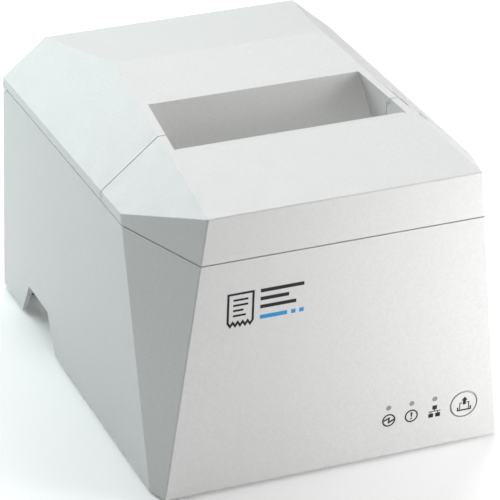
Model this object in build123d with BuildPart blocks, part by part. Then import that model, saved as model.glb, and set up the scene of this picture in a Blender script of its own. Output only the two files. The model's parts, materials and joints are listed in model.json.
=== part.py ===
"""Desktop thermal receipt printer, 80 mm paper, in millimetres.

Frame: +Z up, the front panel faces -Y, the origin is on the table under the middle of the printer.
Distances back from the front panel are turned into y by back(), and heights are above the table.
"""

import os
from math import acos, atan2, cos, degrees, pi, radians, sin, sqrt, tan

from build123d import *

os.makedirs("parts", exist_ok=True)

# ---------------------------------------------------------------- driving dimensions

WIDTH = 145.0
DEPTH = 176.0
FOOT = 1.5  # the rubber feet hold the mouldings this far off the table
WALL = 2.2  # case moulding wall
GAP = 0.5  # seam between two mouldings
EDGE = 0.6  # rounding of the outer edges

HALF = WIDTH / 2
FRONT = -DEPTH / 2
REAR = DEPTH / 2


def back(distance):
    """y of a place this far behind the front panel."""
    return FRONT + distance


# heights of the side outline: front edge, ridge across the top, rear edge
TOP_FRONT = FOOT + 117.7
TOP_RIDGE = FOOT + 122.0
TOP_REAR = FOOT + 111.4
RIDGE_Y = back(124.0)

# the seam between the lower case and the covers slopes down to the rear
SEAM_FRONT = FOOT + 98.6
SEAM_REAR = FOOT + 92.4
SEAM_SLOPE = (SEAM_REAR - SEAM_FRONT) / DEPTH
COVER_SPLIT_Y = back(63.4)  # front cover ahead of this, lid behind it

# corners that the bevelled shoulders and cheeks pass through, on the +X side
SHOULDER_REAR = (HALF, REAR, FOOT + 96.2)
SHOULDER_FRONT = (HALF, back(41.4), FOOT + 101.4)
CORNER_TOP = (55.3, FRONT, TOP_FRONT)
CHEEK_FOOT = (HALF, back(8.4), FOOT)
CHEEK_SEAM = (HALF, back(41.4), FOOT + 96.9)

# paper exit well in the top: a trapezoid that narrows to the rear
WELL_REAR_Y, WELL_REAR_X = back(87.9), 44.3
WELL_FRONT_Y, WELL_FRONT_X = back(50.8), 47.9
WELL_FLOOR_Z = FOOT + 103.5
WELL_FLOOR_REAR_Y = back(74.0)
WELL_FLOOR_FRONT_Y = back(58.0)
WELL_LIP_R = 5.0
WELL_WALL = 2.0
LAP_Z = FOOT + 117.3  # top of the front cover's step that reaches under the lid
SLIT_Y = (back(62.2), back(64.8))  # the paper comes up between these
SLIT_HALF = 41.5

# lid hinge
HINGE_Y, HINGE_Z = back(173.5), FOOT + 93.2
BARREL_R = 2.5
HINGE_X = 50.0
HINGE_PIN_R = 1.5

# paper roll tub
ROLL_Y, ROLL_Z = back(122.0), FOOT + 74.5
TUB_R = 43.5
TUB_HALF = 41.0
TUB_WALL = 2.0
DECK_Z = FOOT + 83.0

# platen and feed gears, all on the -X side
PLATEN_Y, PLATEN_Z = back(70.0), FOOT + 88.0
PLATEN_R = 7.0
PLATEN_HALF = 39.9
SHAFT_R, SHAFT_END_R = 4.0, 3.0
BUSH_R = 4.1
GEAR_X, GEAR_W = -54.2, 5.0  # outer face and width of the feed gears
MODULE = 0.8
PLATEN_TEETH, IDLER_TEETH, MOTOR_TEETH = 15, 30, 12

# feed gear centres as (y, z)
IDLER_AT = (back(68.84), FOOT + 70.04)
MOTOR_AT = (back(58.0), FOOT + 57.2)

# steel mechanism frame
FRAME_X, FRAME_T = 45.8, 1.2  # inner face of the side plates, and sheet thickness
FRAME_Y = (back(34.0), back(81.0))
FRAME_BASE_Z = FOOT + 41.5
FRAME_TOP_Z = FOOT + 96.5

# cutter
BLADE_Z, BLADE_T = 99.4, 0.8
BLADE_HALF = 40.4
PINION_TEETH, WHEEL_TEETH, CUTTER_MOTOR_TEETH = 16, 40, 12

# base
BASE_T = 2.2
STEP_Y = back(112.0)  # rear face of the connector wall
BAY_ROOF_Z = 30.5  # top of the cable bay's roof
BASE_CLEAR = 0.35

# front panel controls, places seen from the front
BUTTON_X, BUTTON_Z, BUTTON_R = 54.5, 18.0, 5.7
LIGHT_X = (22.2, 32.0, 41.8)
LIGHT_Z, LIGHT_R = 22.9, 1.1

# cover release lever on the +X shoulder: corners as (x, distance behind the front)
LEVER_PIVOT = 97.5
LEVER_OUTLINE = ((56.4, 66.4), (61.5, 65.4), (62.3, 100.3), (48.4, 100.3), (50.4, 77.0))
LEVER_T = 2.4
LEVER_PIN_DEPTH = 1.3
POCKET_OUTLINE = ((50.5, 63.0), (62.5, 63.0), (63.1, 101.2), (47.5, 101.2))
SCOOP_OUTLINE = ((52.2, 58.4), (60.6, 58.4), (62.3, 64.5), (50.6, 64.5))
POCKET_DEPTH = 3.6
POCKET_FLOOR = 2.0

# base screws and feet: distance of each pair from the middle, and y
SCREWS = ((64.5, back(36.0)), (64.5, back(150.0)))
FRONT_FEET = (58.0, back(16.0), 6.0)
REAR_FEET = (64.5, back(168.5), 4.0)
PILLARS = ((58.0, back(42.0)), (58.0, back(72.0)))

# sockets on the connector wall: x of each, and height of the board they stand on
BOARD_Z, BOARD_T = 8.0, 1.6
INLET_X, INLET_Z = -40.5, 16.0
SWITCH_X, SWITCH_Z = -17.5, 16.0
LAN_X, USB_X, DRAWER_X = 4.0, 21.5, 37.5


# ---------------------------------------------------------------- helpers


def save(part, name):
    """Writes one node."""
    part.label = name
    export_step(part, f"parts/{name}.step")


def bevel_plane(first, second, third, side):
    """Plane through three corners of the +X side, mirrored for side -1, facing outwards."""
    a, b, c = (Vector(side * p[0], p[1], p[2]) for p in (first, second, third))
    normal = (b - a).cross(c - a)
    if normal.X * side < 0:
        normal = -normal
    return Plane(origin=a, z_dir=normal)


def shoulder(side):
    return bevel_plane(SHOULDER_REAR, SHOULDER_FRONT, CORNER_TOP, side)


def cheek(side):
    return bevel_plane(CHEEK_FOOT, CHEEK_SEAM, CORNER_TOP, side)


def envelope(inset, floor, rounding=0):
    """The printer's outer form, taken in by inset on every side but the floor."""
    with BuildPart() as form:
        with BuildSketch(Plane.YZ):
            with BuildLine():
                Polyline(
                    (FRONT + inset, floor),
                    (FRONT + inset, TOP_FRONT - inset),
                    (RIDGE_Y, TOP_RIDGE - inset),
                    (REAR - inset, TOP_REAR - inset),
                    (REAR - inset, floor),
                    close=True,
                )
            make_face()
        extrude(amount=HALF - inset, both=True)
        for side in (-1, 1):
            for face in (shoulder(side), cheek(side)):
                split(bisect_by=face.offset(-inset), keep=Keep.BOTTOM)
        if rounding:
            low = form.edges().group_by(Axis.Z)[0]
            fillet([e for e in form.edges() if e not in low], rounding)
    return form.part


def seam_plane(offset=0.0):
    """The sloping plane between the lower case and the covers, facing up."""
    plane = Plane(origin=(0, FRONT, SEAM_FRONT), z_dir=(0, -SEAM_SLOPE, 1))
    return plane.offset(offset)


def box(x, y, z, mode=Mode.ADD):
    """A box from x[0] to x[1], y[0] to y[1] and z[0] to z[1] in the open part."""
    with Locations(((x[0] + x[1]) / 2, (y[0] + y[1]) / 2, (z[0] + z[1]) / 2)):
        Box(x[1] - x[0], y[1] - y[0], z[1] - z[0], mode=mode)


def rod_x(radius, x, y, z, mode=Mode.ADD):
    """A cylinder along X from x[0] to x[1] about (y, z)."""
    with Locations(Plane(origin=((x[0] + x[1]) / 2, y, z), z_dir=(1, 0, 0))):
        Cylinder(radius, x[1] - x[0], mode=mode)


def rod_y(radius, x, y, z, mode=Mode.ADD):
    """A cylinder along Y from y[0] to y[1] about (x, z)."""
    with Locations(Plane(origin=(x, (y[0] + y[1]) / 2, z), z_dir=(0, 1, 0))):
        Cylinder(radius, y[1] - y[0], mode=mode)


def rod_z(radius, x, y, z, mode=Mode.ADD):
    """A cylinder along Z from z[0] to z[1] about (x, y)."""
    with Locations((x, y, (z[0] + z[1]) / 2)):
        Cylinder(radius, z[1] - z[0], mode=mode)


def cut_groove_x(inner, outer, x, y, z):
    """Turns a groove into a shaft along X, from x[0] to x[1], down to the inner radius."""
    with BuildSketch(Plane(origin=(x[0], y, z), x_dir=(0, 1, 0), z_dir=(1, 0, 0))) as ring:
        Circle(outer)
        Circle(inner, mode=Mode.SUBTRACT)
    extrude(ring.sketch, amount=x[1] - x[0], mode=Mode.SUBTRACT)


def well(grow):
    """The paper exit well as a solid, with its walls moved out by grow."""
    floor = WELL_FLOOR_Z - grow
    above = TOP_RIDGE + 5
    top = TOP_FRONT + (TOP_RIDGE - TOP_FRONT) * (WELL_FRONT_Y - FRONT) / (RIDGE_Y - FRONT)
    lip = WELL_LIP_R - grow
    with BuildPart() as space:
        with BuildSketch(Plane.YZ):
            with BuildLine():
                l1 = Line((WELL_FRONT_Y, above), (WELL_FRONT_Y, top - grow))
                l2 = RadiusArc(l1 @ 1, (WELL_FRONT_Y + lip, top - WELL_LIP_R), lip)
                Polyline(
                    l2 @ 1,
                    (WELL_FLOOR_FRONT_Y - grow, floor),
                    (WELL_FLOOR_REAR_Y + grow, floor),
                    (WELL_REAR_Y + grow, TOP_RIDGE - 1.25),
                    (WELL_REAR_Y + grow, above),
                    l1 @ 0,
                )
            make_face()
        extrude(amount=HALF, both=True)
        for side in (-1, 1):
            along = Vector(side * (WELL_FRONT_X - WELL_REAR_X), WELL_FRONT_Y - WELL_REAR_Y, 0)
            outward = Vector(-along.Y * side, along.X * side, 0)
            if outward.X * side < 0:
                outward = -outward
            wall = Plane(origin=(side * WELL_REAR_X, WELL_REAR_Y, 0), z_dir=outward)
            split(bisect_by=wall.offset(grow), keep=Keep.BOTTOM)
    return space.part


def gear_outline(teeth, backlash=0.14):
    """Points of one involute spur gear of MODULE, with a tooth on local +X."""
    pitch_r = MODULE * teeth / 2
    base_r = pitch_r * cos(radians(20))
    tip_r = pitch_r + MODULE
    root_r = pitch_r - 1.25 * MODULE
    half_tooth = (pi * MODULE / 2 - backlash) / 2 / pitch_r
    involute_at_pitch = tan(radians(20)) - radians(20)
    start_r = max(base_r, root_r)
    points = []
    for tooth in range(teeth):
        middle = 2 * pi * tooth / teeth
        flank = []
        for step in range(5):
            r = start_r + (tip_r - start_r) * step / 4
            angle = acos(min(1.0, base_r / r))
            half = half_tooth + involute_at_pitch - (tan(angle) - angle)
            flank.append((r, half))
        foot_half = flank[0][1]
        outline = [(root_r, -foot_half)] + [(r, -h) for r, h in flank]
        outline += [(r, h) for r, h in reversed(flank)] + [(root_r, foot_half)]
        if root_r >= base_r:
            outline = outline[1:-1]
        points += [(r * cos(middle + a), r * sin(middle + a)) for r, a in outline]
    return points


def spur_gear(plane, teeth, width, bore, turned=0.0):
    """Adds a gear to the open part, from plane along its normal, turned by degrees about it."""
    turn = radians(turned)
    rim = [
        (x * cos(turn) - y * sin(turn), x * sin(turn) + y * cos(turn))
        for x, y in gear_outline(teeth)
    ]
    with BuildSketch(plane) as face:
        with BuildLine():
            Polyline(*rim, close=True)
        make_face()
        if bore:
            Circle(bore, mode=Mode.SUBTRACT)
    extrude(face.sketch, amount=width)


def meshed_turn(centre, teeth, turned, other_centre, other_teeth):
    """Turn in degrees that puts a second gear in mesh with one that is already placed."""
    across = other_centre[0] - centre[0], other_centre[1] - centre[1]
    line = degrees(atan2(across[1], across[0]))
    pitch = 360 / teeth
    off = (turned - line) % pitch
    return line + 180 - off * teeth / other_teeth + 180 / other_teeth


def feed_turns():
    """Turns of the platen, idler and motor gears, in mesh at rest."""
    platen_at = (PLATEN_Y, PLATEN_Z)
    first = degrees(atan2(IDLER_AT[1] - platen_at[1], IDLER_AT[0] - platen_at[0]))
    second = meshed_turn(platen_at, PLATEN_TEETH, first, IDLER_AT, IDLER_TEETH)
    third = meshed_turn(IDLER_AT, IDLER_TEETH, second, MOTOR_AT, MOTOR_TEETH)
    return first, second, third


def shell_between(low, high, y_from, y_to):
    """The hollow outer skin between two seam offsets and two y values (None leaves it open)."""
    with BuildPart() as skin:
        add(envelope(0, FOOT, EDGE))
        add(envelope(WALL, FOOT - 1), mode=Mode.SUBTRACT)
        if low is not None:
            split(bisect_by=seam_plane(low), keep=Keep.TOP)
        if high is not None:
            split(bisect_by=seam_plane(high), keep=Keep.BOTTOM)
        if y_from is not None:
            split(bisect_by=Plane(origin=(0, y_from, 0), z_dir=(0, 1, 0)), keep=Keep.TOP)
        if y_to is not None:
            split(bisect_by=Plane(origin=(0, y_to, 0), z_dir=(0, 1, 0)), keep=Keep.BOTTOM)
    return skin.part


def well_wall():
    """The walls and floor of the paper exit well, as one solid with the slit cut."""
    with BuildPart() as wall:
        add(well(WELL_WALL))
        add(envelope(0.3, FOOT), mode=Mode.INTERSECT)
        add(well(0), mode=Mode.SUBTRACT)
        box((-SLIT_HALF, SLIT_HALF), SLIT_Y, (WELL_FLOOR_Z - 5, WELL_FLOOR_Z + 2), Mode.SUBTRACT)
    return wall.part


def shoulder_plane():
    """Sketch plane on the +X shoulder: x to the rear, y up the slope, z outwards."""
    face = shoulder(1)
    normal = face.z_dir
    along = Vector(0, 1, -normal.Y / normal.Z).normalized()
    origin = Vector(55.0, back(LEVER_PIVOT), 0)
    drop = (face.origin - origin).dot(normal) / normal.Z
    origin = Vector(origin.X, origin.Y, drop)
    return Plane(origin=origin, x_dir=along, z_dir=normal)


def lever_axis():
    """Plane whose normal is the lever's pin, which lies across the shoulder."""
    plane = shoulder_plane()
    origin = plane.origin - plane.z_dir * LEVER_PIN_DEPTH - plane.y_dir * 0.3
    return Plane(origin=origin, z_dir=plane.y_dir, x_dir=plane.x_dir)


def on_shoulder(outline):
    """Turns (x, distance behind the front) pairs into sketch points on shoulder_plane()."""
    plane = shoulder_plane()
    points = []
    for x, distance in outline:
        at = Vector(x, back(distance), 0)
        at = Vector(at.X, at.Y, (plane.origin - at).dot(plane.z_dir) / plane.z_dir.Z)
        local = plane.to_local_coords(at)
        points.append((local.X, local.Y))
    return points


# ---------------------------------------------------------------- case mouldings


def make_lower_case():
    with BuildPart() as lower_case:
        add(shell_between(None, -GAP / 2, None, None))
        # cable opening in the rear wall, open at the bottom
        box((-58, 58), (REAR - 5, REAR + 5), (FOOT - 1, 27.0), Mode.SUBTRACT)
        # cable notches through both sides
        with BuildSketch(Plane.YZ):
            Polygon(
                (back(111.6), FOOT - 2.24),
                (back(122.6), FOOT + 15.4),
                (back(144.6), FOOT + 15.4),
                (back(153.66), FOOT - 2.24),
                align=None,
            )
        extrude(amount=HALF + 5, both=True, mode=Mode.SUBTRACT)
        # room for the lid barrel along the top of the rear wall
        box((-HALF - 1, HALF + 1), (back(173.5), REAR + 1), (HINGE_Z - 3.1, 110), Mode.SUBTRACT)
        box((WALL - HALF, HALF - WALL), (REAR - 6, back(173.6)), (HINGE_Z - 3.1, 110), Mode.SUBTRACT)
        rod_x(BARREL_R + 0.4, (-HALF - 1, HALF + 1), HINGE_Y, HINGE_Z, Mode.SUBTRACT)
        # hinge brackets
        for side in (-1, 1):
            x = (side * HINGE_X - 3.5, side * HINGE_X + 3.5)
            box(x, (back(171.2), back(175.8)), (80.0, HINGE_Z))
            rod_x(BARREL_R, x, HINGE_Y, HINGE_Z)
            rod_x(HINGE_PIN_R + 0.05, x, HINGE_Y, HINGE_Z, Mode.SUBTRACT)
        for side in (-1, 1):
            # rear posts that carry the rear feet
            x = sorted((side * 59.5, side * (HALF - WALL + 0.5)))
            box(x, (back(163.5), back(DEPTH - WALL + 0.5)), (FOOT, 28.3))
            # ledges for the roll deck
            x = sorted((side * 66.5, side * (HALF - WALL + 0.5)))
            box(x, (back(96.0), back(168.0)), (DECK_Z - 3.0, DECK_Z - 0.5))
            # screw bosses, each tied to the side wall by a rib
            for (inner, y), (low, high) in zip(SCREWS, ((4.0, 24.0), (BAY_ROOF_Z + 0.3, 46.0))):
                rod_z(3.6, side * inner, y, (low, high))
                x = sorted((side * inner, side * (HALF - WALL + 0.5)))
                box(x, (y - 1.0, y + 1.0), (low, high))
                rod_z(1.3, side * inner, y, (low - 0.1, high - 3.0), Mode.SUBTRACT)
        # recesses for the rear feet
        for side in (-1, 1):
            rod_z(REAR_FEET[2], side * REAR_FEET[0], REAR_FEET[1], (0, FOOT + 0.8), Mode.SUBTRACT)
        # front panel: feed button hole with its collar, and the light holes
        rod_y(BUTTON_R + 1.6, BUTTON_X, (FRONT + 1.0, back(6.0)), BUTTON_Z)
        rod_y(BUTTON_R + 0.25, BUTTON_X, (FRONT - 1, back(7.0)), BUTTON_Z, Mode.SUBTRACT)
        for x in LIGHT_X:
            rod_y(LIGHT_R, x, (FRONT - 1, back(4.0)), LIGHT_Z, Mode.SUBTRACT)
    return lower_case.part


def lid_well():
    """The lid's share of the well walls; the step below its lip leaves room for the front cover."""
    with BuildPart() as wall:
        add(well_wall())
        box((-HALF, HALF), (FRONT, COVER_SPLIT_Y + GAP / 2), (0, 140), Mode.SUBTRACT)
        for side in (-1, 1):
            x = sorted((side * 44.5, side * HALF))
            box(x, (FRONT, back(65.8)), (0, LAP_Z + 0.4), Mode.SUBTRACT)
    return wall.part


def lever_pocket():
    """Walls and floor under the release lever, before the pocket itself is cut."""
    with BuildPart() as pocket:
        with BuildSketch(shoulder_plane()):
            Polygon(*on_shoulder(POCKET_OUTLINE), align=None)
            offset(amount=POCKET_FLOOR, kind=Kind.INTERSECTION)
        extrude(amount=-POCKET_DEPTH - POCKET_FLOOR)
        add(envelope(0.3, FOOT), mode=Mode.INTERSECT)
        box((0, HALF), (FRONT, COVER_SPLIT_Y + GAP / 2), (0, 140), Mode.SUBTRACT)
        box((0, 50.6), (FRONT, back(65.8)), (0, LAP_Z + 0.4), Mode.SUBTRACT)
    return pocket.part


def make_lid_cover():
    plane = shoulder_plane()
    with BuildPart() as lid_cover:
        add(shell_between(GAP / 2, None, COVER_SPLIT_Y + GAP / 2, None))
        add(lid_well())
        add(lever_pocket())
        add(well(0), mode=Mode.SUBTRACT)
        # pocket for the lever
        with BuildSketch(plane):
            Polygon(*on_shoulder(POCKET_OUTLINE), align=None)
        extrude(amount=-POCKET_DEPTH, mode=Mode.SUBTRACT)
        with BuildSketch(plane):
            Polygon(*on_shoulder(POCKET_OUTLINE), align=None)
        extrude(amount=1.0, mode=Mode.SUBTRACT)
        # slot in the pocket floor for the lever's lug
        with BuildSketch(plane):
            with Locations((-3.0, -1.5)):
                Rectangle(10.0, 4.4)
        extrude(amount=-POCKET_DEPTH - POCKET_FLOOR - 2, mode=Mode.SUBTRACT)
        # bearing for the lever's pin
        with Locations(lever_axis()):
            Cylinder(0.85, 23.4, mode=Mode.SUBTRACT)
        # barrel of the hinge with room for the brackets
        rod_x(BARREL_R, (-HALF, HALF), HINGE_Y, HINGE_Z)
        for side in (-1, 1):
            x = (side * HINGE_X - 3.8, side * HINGE_X + 3.8)
            rod_x(BARREL_R + 0.5, x, HINGE_Y, HINGE_Z, Mode.SUBTRACT)
            box(x, (back(170.4), REAR + 1), (HINGE_Z - 3, HINGE_Z + 3.2), Mode.SUBTRACT)
            x = sorted((side * 42.0, side * 58.0))
            rod_x(HINGE_PIN_R, x, HINGE_Y, HINGE_Z, Mode.SUBTRACT)
    return lid_cover.part


def make_hinge_pins():
    with BuildPart() as hinge_pins:
        for side in (-1, 1):
            x = sorted((side * 42.0, side * 58.0))
            rod_x(HINGE_PIN_R, x, HINGE_Y, HINGE_Z)
    return hinge_pins.part


def front_well():
    """The front cover's share of the well walls, with the step that reaches under the lid."""
    with BuildPart() as wall:
        add(well_wall())
        box((-HALF, HALF), (back(65.3), REAR), (0, 140), Mode.SUBTRACT)
        box((-HALF, HALF), (COVER_SPLIT_Y - GAP / 2, REAR), (LAP_Z, 140), Mode.SUBTRACT)
        box((-44.9, 44.9), (SLIT_Y[0], REAR), (0, 140), Mode.SUBTRACT)
    return wall.part


def finger_scoop():
    """Walls and floor of the finger recess ahead of the lever, before it is cut."""
    with BuildPart() as scoop:
        with BuildSketch(shoulder_plane()):
            Polygon(*on_shoulder(SCOOP_OUTLINE), align=None)
            offset(amount=POCKET_FLOOR, kind=Kind.INTERSECTION)
        extrude(amount=-POCKET_DEPTH - POCKET_FLOOR)
        add(envelope(0.3, FOOT), mode=Mode.INTERSECT)
        box((0, HALF), (COVER_SPLIT_Y - GAP / 2, REAR), (0, 140), Mode.SUBTRACT)
    return scoop.part


def guide_tab(side):
    """Tab on the front cover that runs along the inside of the case."""
    with BuildPart() as relief:
        x = sorted((side * 69.3, side * HALF))
        box(x, (back(56.0), back(66.0)), (80.0, 101.6))
        split(bisect_by=seam_plane(GAP / 2), keep=Keep.BOTTOM)
    with BuildPart() as tab:
        x = sorted((side * 67.0, side * (HALF - WALL + 0.4)))
        box(x, (back(58.6), back(62.8)), (90.0, 101.6))
        split(bisect_by=seam_plane(-3.0), keep=Keep.TOP)
        add(relief.part, mode=Mode.SUBTRACT)
    return tab.part


def make_front_cover():
    plane = shoulder_plane()
    with BuildPart() as front_cover:
        add(shell_between(GAP / 2, None, None, COVER_SPLIT_Y - GAP / 2))
        add(front_well())
        add(finger_scoop())
        add(well(0), mode=Mode.SUBTRACT)
        with BuildSketch(plane.offset(-POCKET_DEPTH)):
            Polygon(*on_shoulder(SCOOP_OUTLINE), align=None)
        extrude(amount=POCKET_DEPTH + 2.0, taper=-12, mode=Mode.SUBTRACT)
        # bevel along the front edge of the well
        y = WELL_FRONT_Y - 0.8
        z = TOP_FRONT + (TOP_RIDGE - TOP_FRONT) * (y - FRONT) / (RIDGE_Y - FRONT)
        with BuildSketch(Plane.YZ):
            Polygon((y, z), (y + 4.0, z - 1.0), (y + 4.0, z + 3.0), (y, z + 3.0), align=None)
        extrude(amount=WELL_FRONT_X - 0.3, both=True, mode=Mode.SUBTRACT)
        for side in (-1, 1):
            add(guide_tab(side))
    return front_cover.part


def make_base_tray():
    inner = envelope(WALL + BASE_CLEAR, FOOT)
    with BuildPart() as base_tray:
        box((-HALF, HALF), (FRONT, STEP_Y), (FOOT, FOOT + BASE_T))
        box((-HALF, HALF), (STEP_Y - 2.0, STEP_Y), (FOOT, BAY_ROOF_Z))
        box((-HALF, HALF), (STEP_Y - 2.0, REAR), (BAY_ROOF_Z - 2.0, BAY_ROOF_Z))
        add(inner, mode=Mode.INTERSECT)
        # window for the sockets
        box((-57, 57), (STEP_Y - 3, STEP_Y + 1), (6.0, 26.0), Mode.SUBTRACT)
        for side in (-1, 1):
            for x, y in PILLARS:
                rod_z(3.5, side * x, y, (FOOT + 1, FRAME_BASE_Z))
                rod_z(1.25, side * x, y, (FRAME_BASE_Z - 10, FRAME_BASE_Z + 1), Mode.SUBTRACT)
            (x, y), (x2, y2) = SCREWS
            rod_z(1.7, side * x, y, (0, 10), Mode.SUBTRACT)
            rod_z(1.7, side * x2, y2, (BAY_ROOF_Z - 5, BAY_ROOF_Z + 1), Mode.SUBTRACT)
            x, y, radius = FRONT_FEET
            rod_z(radius, side * x, y, (0, FOOT + 0.8), Mode.SUBTRACT)
        # standoffs for the main board and feet of the power supply
        for x, y in ((-9.0, 24.0), (49.0, 28.0), (-9.0, 88.0), (49.0, 88.0)):
            rod_z(2.6, x, back(y), (FOOT + 1, BOARD_Z))
            rod_z(1.0, x, back(y), (BOARD_Z - 4, BOARD_Z + 1), Mode.SUBTRACT)
        for x in (-47.0, -23.0):
            for y in (20.0, 78.0):
                rod_z(3.0, x, back(y), (FOOT + 1, 10.0))
        # cooling slots in the floor
        for index in range(6):
            x = -45.0 + index * 4.4
            box((x, x + 2.0), (back(28.0), back(70.0)), (0, 5), Mode.SUBTRACT)
        # ribs under the roof of the cable bay
        for x in (-30.0, 0.0, 30.0):
            box((x - 0.8, x + 0.8), (STEP_Y + 1.6, back(172.0)), (BAY_ROOF_Z - 3.5, BAY_ROOF_Z - 1.5))
        # front ribs
        box((-50, 44), (back(8.0), back(9.6)), (FOOT + 1, FOOT + 6))
    return base_tray.part


def make_feet():
    with BuildPart() as rubber_feet:
        for x, y, radius in (FRONT_FEET, REAR_FEET):
            for side in (-1, 1):
                rod_z(radius, side * x, y, (0, FOOT + 0.8))
        chamfer(rubber_feet.edges().group_by(Axis.Z)[0], 0.4)
    return rubber_feet.part


def make_base_screws():
    with BuildPart() as base_screws:
        (x, y), (x2, y2) = SCREWS
        for side in (-1, 1):
            for px, py, under in ((x, y, FOOT), (x2, y2, BAY_ROOF_Z - 2.0)):
                head = (under + 0.2, under + 1.2) if under == FOOT else (under - 1.8, under)
                rod_z(1.3, side * px, py, (head[0] + 0.5, head[1] + 12.0))
                if under == FOOT:
                    rod_z(1.65, side * px, py, head)
                else:
                    rod_z(2.8, side * px, py, head)
                box(
                    (side * px - 1.0, side * px + 1.0),
                    (py - 0.25, py + 0.25),
                    (head[0] - 0.1, head[0] + 0.5),
                    Mode.SUBTRACT,
                )
                box(
                    (side * px - 0.25, side * px + 0.25),
                    (py - 1.0, py + 1.0),
                    (head[0] - 0.1, head[0] + 0.5),
                    Mode.SUBTRACT,
                )
    return base_screws.part


# ---------------------------------------------------------------- paper tub


def make_bucket():
    with BuildPart() as bucket:
        rod_x(TUB_R + TUB_WALL, (-TUB_HALF - 2, TUB_HALF + 2), ROLL_Y, ROLL_Z)
        box((-HALF, HALF), (FRONT, REAR), (DECK_Z - 0.5, 200), Mode.SUBTRACT)
        deck = (DECK_Z - 0.5, DECK_Z + 1.5)
        box((-69.8, 69.8), (back(92.0), back(172.0)), deck)
        for side in (-1, 1):
            x = sorted((side * 45.4, side * 54.6))
            box(x, (back(170.4), back(173.0)), (60, 100), Mode.SUBTRACT)
        # roll space
        rod_x(TUB_R, (-TUB_HALF, TUB_HALF), ROLL_Y, ROLL_Z, Mode.SUBTRACT)
        box((-TUB_HALF, TUB_HALF), (ROLL_Y - TUB_R, ROLL_Y + TUB_R), (ROLL_Z, 200), Mode.SUBTRACT)
        # the front is cut low so the platen can come down
        box((-HALF, HALF), (FRONT, back(92.0)), (78.0, 200), Mode.SUBTRACT)
        # window for the paper sensor
        box((-17.8, -10.2), (back(78.0), back(88.0)), (50.8, 57.2), Mode.SUBTRACT)
        # guide edge that turns the paper up towards the print line
        rod_x(1.6, (-TUB_HALF - 2, TUB_HALF + 2), back(78.9), 77.2)
    return bucket.part


# ---------------------------------------------------------------- print mechanism


def make_mech_frame():
    y = FRAME_Y
    with BuildPart() as mech_frame:
        box((-62, 62), (back(36.0), back(78.0)), (FRAME_BASE_Z, FRAME_BASE_Z + FRAME_T))
        for side in (-1, 1):
            x = sorted((side * FRAME_X, side * (FRAME_X + FRAME_T)))
            box(x, y, (FRAME_BASE_Z, FRAME_TOP_Z))
            # slot that the platen bush drops into
            rod_x(BUSH_R + 0.2, x, PLATEN_Y, PLATEN_Z, Mode.SUBTRACT)
            slot = (PLATEN_Y - BUSH_R - 0.2, PLATEN_Y + BUSH_R + 0.2)
            box(x, slot, (PLATEN_Z, FRAME_TOP_Z + 1), Mode.SUBTRACT)
            # latch stud
            stud = sorted((side * (FRAME_X - 2.0), side * (FRAME_X + FRAME_T)))
            rod_x(1.5, stud, back(79.0), 87.0)
            # head pivot hole and a lightening hole
            rod_x(1.55, x, back(60.0), 77.0, Mode.SUBTRACT)
            if side > 0:
                rod_x(9.0, x, back(57.0), 60.0, Mode.SUBTRACT)
            for px, py in PILLARS:
                z = (FRAME_BASE_Z - 1, FRAME_BASE_Z + 3)
                rod_z(1.6, side * px, py, z, Mode.SUBTRACT)
        # stud for the idler gear, and the hole for the motor shaft
        rod_x(2.0, (GEAR_X - 0.9, -FRAME_X), *IDLER_AT)
        hole = (-FRAME_X - FRAME_T - 1, -FRAME_X + 1)
        rod_x(3.2, hole, *MOTOR_AT, Mode.SUBTRACT)
    return mech_frame.part


def make_frame_screws():
    z = FRAME_BASE_Z + FRAME_T
    with BuildPart() as frame_screws:
        for side in (-1, 1):
            for x, y in PILLARS:
                rod_z(1.25, side * x, y, (z - 9.0, z + 0.5))
                rod_z(2.7, side * x, y, (z, z + 1.7))
                box((side * x - 1.9, side * x + 1.9), (y - 0.3, y + 0.3), (z + 1, z + 2), Mode.SUBTRACT)
                box((side * x - 0.3, side * x + 0.3), (y - 1.9, y + 1.9), (z + 1, z + 2), Mode.SUBTRACT)
    return frame_screws.part


def make_spring_plate():
    with BuildPart() as head_spring_plate:
        box((-FRAME_X, FRAME_X), (back(50.0), back(51.0)), (80.0, 96.5))
        box((-FRAME_X, FRAME_X), (back(45.0), back(51.0)), (80.0, 81.0))
        for x in (-34.0, 0.0, 34.0):
            box((x - 4, x + 4), (back(49), back(52)), (84.0, 92.0), Mode.SUBTRACT)
        for x in (-20.0, 20.0):
            rod_y(1.4, x, (back(50.5), back(54.0)), 89.5)
    return head_spring_plate.part


def coil_spring(pitch, height, radius, wire_r):
    """A helical spring along +Z from the origin."""
    with BuildPart() as spring:
        with BuildLine() as coil:
            Helix(pitch=pitch, height=height, radius=radius)
        with BuildSketch(Plane(origin=coil.line @ 0, z_dir=coil.line % 0)):
            Circle(wire_r)
        sweep(path=coil.line, is_frenet=True)
    return spring.part


def make_head_springs():
    with BuildPart() as head_springs:
        for x in (-20.0, 20.0):
            at = Plane(origin=(x, back(51.45), 89.5), z_dir=(0, 1, 0))
            add(at.location * coil_spring(1.45, 6.5, 2.3, 0.35))
    return head_springs.part


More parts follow.
